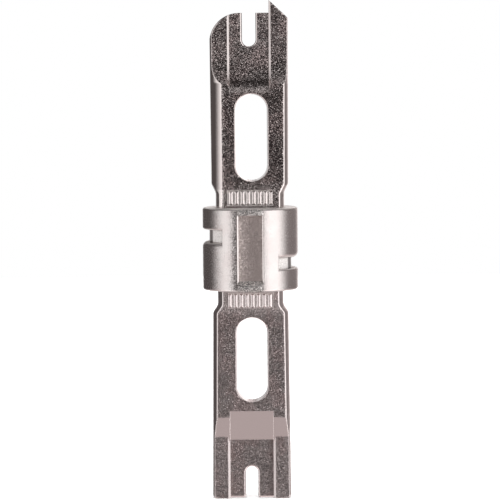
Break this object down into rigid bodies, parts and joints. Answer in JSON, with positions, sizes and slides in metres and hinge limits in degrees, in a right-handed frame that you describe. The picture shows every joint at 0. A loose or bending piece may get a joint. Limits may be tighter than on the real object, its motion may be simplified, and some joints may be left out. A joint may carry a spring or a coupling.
{
  "type": "punch down tool blade",
  "caption": "Double-ended punch-down blade: a round bayonet collar with a cutting fork above and a plain seating fork below.",
  "frame": {"origin": "centre of the bayonet collar, on the blade's axis and midway between the collar's end faces", "axes": "+Z along the blade towards the cutting fork, +X towards the cutter's side, -Y out of the broad face that carries the marking panels"},
  "size_m": [0.014, 0.014, 0.0734],
  "materials": {
    "cast_steel": "nickel plated, coarse cast grain",
    "collar_steel": "nickel plated, satin"
  },
  "bodies": {
    "root": {"cut_end_blade": "cast_steel", "seat_end_blade": "cast_steel", "bayonet_collar": "collar_steel"}
  },
  "joints": []
}
